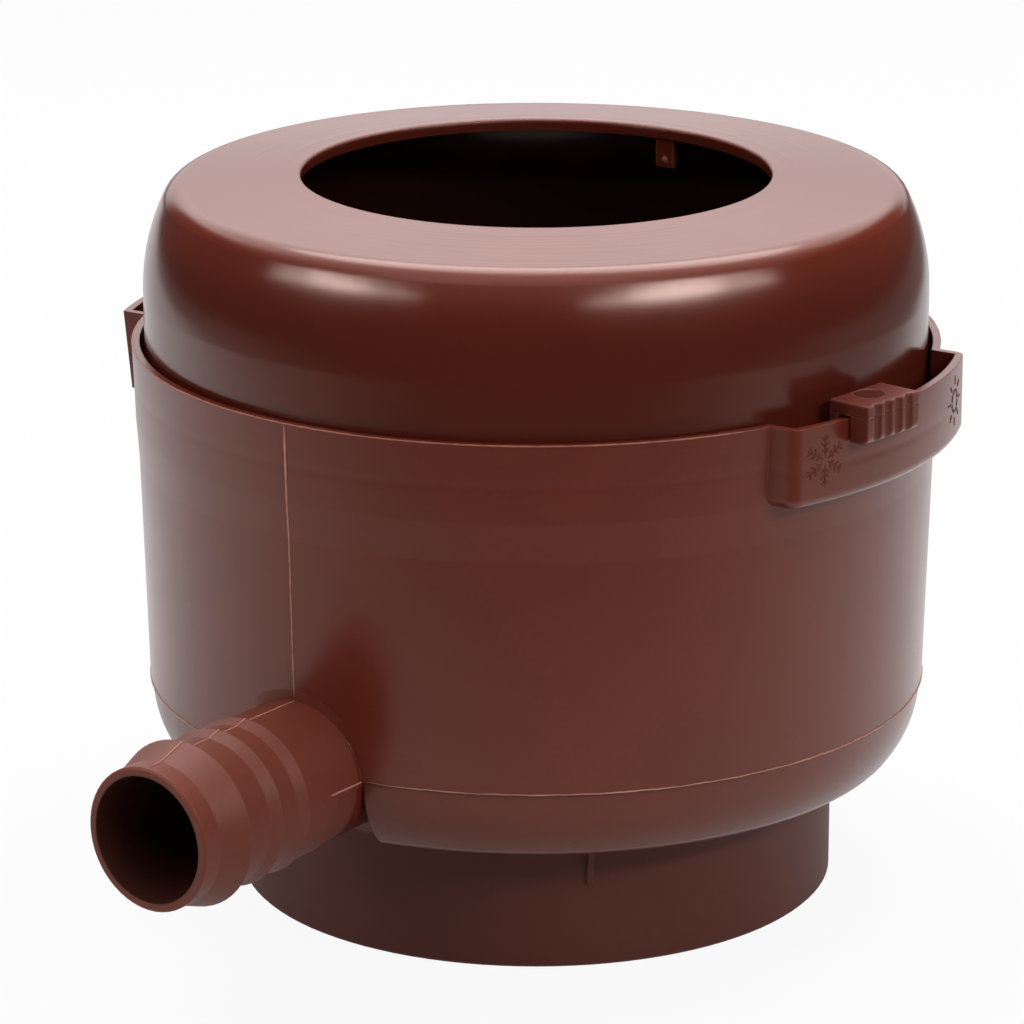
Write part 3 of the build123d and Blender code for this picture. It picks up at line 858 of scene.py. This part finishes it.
world = bpy.data.worlds.new("studio")
scene.world = world
world.use_nodes = True
tree = world.node_tree
tree.nodes.clear()
direction = split_node(tree, tree.nodes.new("ShaderNodeTexCoord").outputs["Generated"])
widening = ramp_node(tree, direction["Z"], *WALL_WIDENING)
aside = math_node(tree, "SUBTRACT", math_node(tree, "ABSOLUTE", direction["X"]), widening)
wall = ramp_node(tree, direction["Z"], *WALL_LIGHT)
for measure, border in ((aside, WALL_SIDE), (direction["Y"], WALL_FRONT), (direction["Z"], WALL_FOOT)):
    wall = math_node(tree, "MULTIPLY", wall, ramp_node(tree, measure, *border))
room = math_node(tree, "MAXIMUM", wall, ROOM_LIGHT)
room = math_node(tree, "MAXIMUM", room, ramp_node(tree, direction["Z"], *CEILING_LIGHT))
path = tree.nodes.new("ShaderNodeLightPath").outputs
seen = math_node(tree, "MAXIMUM", path["Is Camera Ray"], path["Is Transmission Ray"])
background = tree.nodes.new("ShaderNodeBackground")
feed(tree, background.inputs["Color"], (1, 1, 1, 1))
feed(tree, background.inputs["Strength"], mix_number(tree, seen, room, 1.0))
feed(tree, tree.nodes.new("ShaderNodeOutputWorld").inputs["Surface"], background.outputs[0])
print("room with", len(tree.nodes), "nodes")

# %% [markdown]
# ## Lamps
#
# A large soft lamp hangs overhead. Two long narrow ones stand left and right in front and make the two soft
# glints on the cover's shoulder. Each glint is brightest in its middle, as a strip lamp with a tube inside
# shows it, so each strip has a shorter and brighter lamp just before it. A lamp could be set by its watts,
# but what counts here is how bright it looks in the gloss, so the power is worked out from that.

# %% Hang the lamps
SHOULDER = (0, 0, 0.16)
DRUM_MIDDLE = (0, 0, 0.1)


def soft_lamp(name, place, aim, width, tall, brightness, roll=0):
    """Oval lamp that faces a point; its face looks as bright as power / (pi * area), area = pi/4 * w * t."""
    light = bpy.data.lights.new(name, "AREA")
    light.shape = "ELLIPSE"
    light.size, light.size_y = width, tall
    light.energy = brightness * np.pi * (np.pi / 4 * width * tall)
    lamp = bpy.data.objects.new(name, light)
    lamp.location = place
    turn = (Vector(aim) - Vector(place)).to_track_quat("-Z", "Y")
    lamp.rotation_euler = (turn @ Quaternion((0, 0, 1), radians(roll))).to_euler()
    scene.collection.objects.link(lamp)
    print(name, round(light.energy, 2), "W")


soft_lamp("overhead lamp", (0.05, 0.45, 1.15), DRUM_MIDDLE, 1.3, 0.9, 5.0)
soft_lamp("right lamp", (0.815, -0.788, 0.735), SHOULDER, 1.38, 0.15, 9.5, roll=-6)
soft_lamp("right lamp middle", (0.764, -0.814, 0.727), SHOULDER, 0.62, 0.15, 12, roll=-6)
soft_lamp("left lamp", (-1.01, -0.562, 0.68), SHOULDER, 1.12, 0.085, 11, roll=11)
soft_lamp("left lamp middle", (-1.000, -0.546, 0.672), SHOULDER, 0.44, 0.085, 13.5, roll=11)
